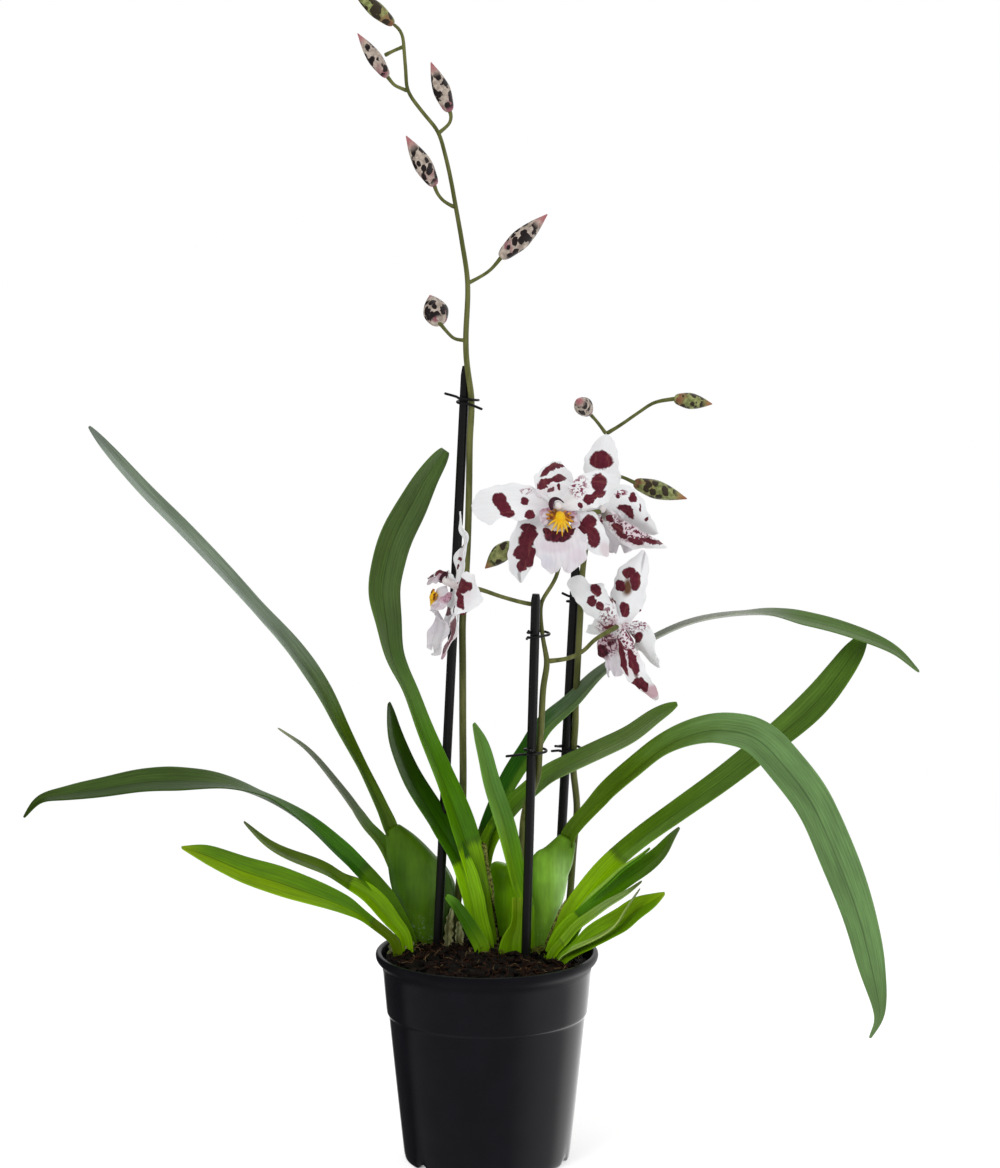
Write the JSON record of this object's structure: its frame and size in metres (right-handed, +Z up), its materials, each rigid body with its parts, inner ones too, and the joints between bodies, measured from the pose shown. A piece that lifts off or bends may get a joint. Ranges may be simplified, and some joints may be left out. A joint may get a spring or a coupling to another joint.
{
  "type": "potted orchid",
  "caption": "Odontonia orchid in a black nursery pot: strap leaves on flattened pseudobulbs, staked spikes with buds, and white blooms blotched with maroon.",
  "frame": {"origin": "centre of the pot's base, on the surface it stands on", "axes": "+Z up along the pot's axis, +X to the right in the picture, +Y away from its camera, so the front is -Y"},
  "size_m": [0.4791, 0.1448, 0.6282],
  "materials": {
    "pot_plastic": "glossy near-black thin plastic",
    "growing_medium": "rough dark bark and peat",
    "stake_plastic": "satin near-black",
    "tie_wire": "satin black coated wire",
    "pseudobulb": "smooth waxy green",
    "leaf": "smooth leathery green, half glossy",
    "sheath": "smooth lime green",
    "stem": "smooth olive green",
    "bud": "matt cream with dark blotches",
    "tepal": "matt white with maroon blotches",
    "lip": "matt pale lilac with maroon and yellow"
  },
  "bodies": {
    "root": {"stake_left": "stake_plastic", "stake_front": "stake_plastic", "stake_rear": "stake_plastic", "spike_left": "stem", "spike_middle": "stem", "spike_rear": "stem", "pseudobulb_left": "pseudobulb", "pseudobulb_rear_left": "pseudobulb", "pseudobulb_centre": "pseudobulb", "pseudobulb_right": "pseudobulb", "tie_left": "tie_wire", "tie_front_upper": "tie_wire", "tie_front_lower": "tie_wire", "tie_rear_upper": "tie_wire", "tie_rear_lower": "tie_wire", "leaf_01": "leaf", "leaf_02": "leaf", "leaf_03": "leaf", "leaf_04": "leaf", "leaf_05": "leaf", "leaf_06": "leaf", "leaf_07": "leaf", "leaf_08": "leaf", "leaf_09": "leaf", "leaf_10": "leaf", "leaf_11": "leaf", "leaf_12": "leaf", "leaf_13": "leaf", "leaf_14": "leaf", "leaf_15": "leaf", "leaf_16": "leaf", "leaf_17": "leaf", "leaf_18": "leaf", "sheath_front": "sheath", "bud_01": "bud", "bud_02": "bud", "bud_03": "bud", "bud_04": "bud", "bud_05": "bud", "bud_06": "bud", "bud_07": "bud", "bud_08": "bud", "bud_09": "bud", "bud_10": "bud", "flower_main_tepals": "tepal", "flower_main_lip": "lip", "flower_left_tepals": "tepal", "flower_left_lip": "lip", "flower_right_tepals": "tepal", "flower_right_lip": "lip", "flower_lower_tepals": "tepal", "flower_lower_lip": "lip", "growing_medium": "growing_medium", "pot": "pot_plastic"}
  },
  "joints": []
}
